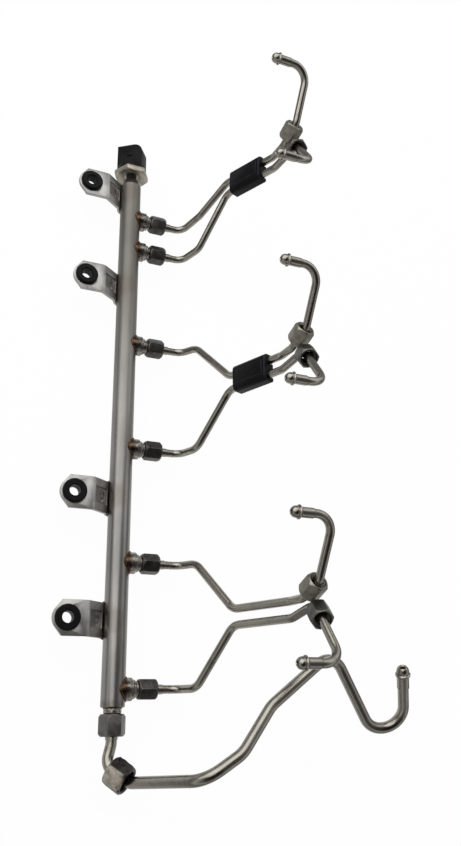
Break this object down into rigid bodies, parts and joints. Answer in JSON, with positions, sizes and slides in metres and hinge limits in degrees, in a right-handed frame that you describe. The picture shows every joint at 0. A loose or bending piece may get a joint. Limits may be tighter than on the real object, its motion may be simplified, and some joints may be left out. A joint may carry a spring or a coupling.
{
  "type": "fuel rail",
  "caption": "High-pressure common fuel rail for a straight-six engine, with brackets on rubber grommets, bent injector lines, a feed line and a pressure sensor.",
  "frame": {"origin": "centre of the feed-end bracket's grommet bore at its seat face, where it meets the cylinder head", "axes": "+Z along the mounting bolts, away from the head; +Y along the rail, from the feed end to the sensor; +X out of the ports, towards the injectors"},
  "size_m": [0.2535, 0.5389, 0.1726],
  "materials": {
    "rail_steel": "drawn stainless tube, fine lengthwise brushing, heat tint at the brazed joints",
    "fitting_steel": "turned stainless, stained by brazing",
    "line_steel": "bright drawn steel tube",
    "nut_steel": "dark plated steel, satin",
    "loose_nut_steel": "plated steel, satin",
    "bracket_steel": "pressed stainless sheet, satin",
    "grommet_rubber": "moulded rubber, matt",
    "clip_plastic": "moulded plastic, fine grain",
    "sensor_steel": "machined stainless, stained front face",
    "connector_plastic": "moulded plastic, smooth matt",
    "pin_brass": "plated brass blades"
  },
  "bodies": {
    "root": {"rail_tube": "rail_steel", "port_fitting_1": "fitting_steel", "rail_nut_1": "nut_steel", "rail_sleeve_1": "line_steel", "injector_line_1": "line_steel", "injector_sleeve_1": "line_steel", "injector_nut_1": "loose_nut_steel", "port_fitting_2": "fitting_steel", "rail_nut_2": "nut_steel", "rail_sleeve_2": "line_steel", "injector_line_2": "line_steel", "injector_sleeve_2": "line_steel", "injector_nut_2": "loose_nut_steel", "port_fitting_3": "fitting_steel", "rail_nut_3": "nut_steel", "rail_sleeve_3": "line_steel", "injector_line_3": "line_steel", "injector_sleeve_3": "line_steel", "injector_nut_3": "loose_nut_steel", "port_fitting_4": "fitting_steel", "rail_nut_4": "nut_steel", "rail_sleeve_4": "line_steel", "injector_line_4": "line_steel", "injector_sleeve_4": "line_steel", "injector_nut_4": "loose_nut_steel", "port_fitting_5": "fitting_steel", "rail_nut_5": "nut_steel", "rail_sleeve_5": "line_steel", "injector_line_5": "line_steel", "injector_sleeve_5": "line_steel", "injector_nut_5": "loose_nut_steel", "port_fitting_6": "fitting_steel", "rail_nut_6": "nut_steel", "rail_sleeve_6": "line_steel", "injector_line_6": "line_steel", "injector_sleeve_6": "line_steel", "injector_nut_6": "loose_nut_steel", "line_clip_2": "clip_plastic", "line_clip_3": "clip_plastic", "feed_nipple": "fitting_steel", "feed_rail_nut": "loose_nut_steel", "feed_rail_sleeve": "line_steel", "feed_line": "line_steel", "feed_pump_sleeve": "line_steel", "feed_pump_nut": "loose_nut_steel", "bracket_1": "bracket_steel", "grommet_1": "grommet_rubber", "bracket_2": "bracket_steel", "grommet_2": "grommet_rubber", "bracket_3": "bracket_steel", "grommet_3": "grommet_rubber", "bracket_4": "bracket_steel", "grommet_4": "grommet_rubber", "sensor_body": "sensor_steel", "sensor_connector": "connector_plastic", "sensor_pins": "pin_brass"}
  },
  "joints": []
}
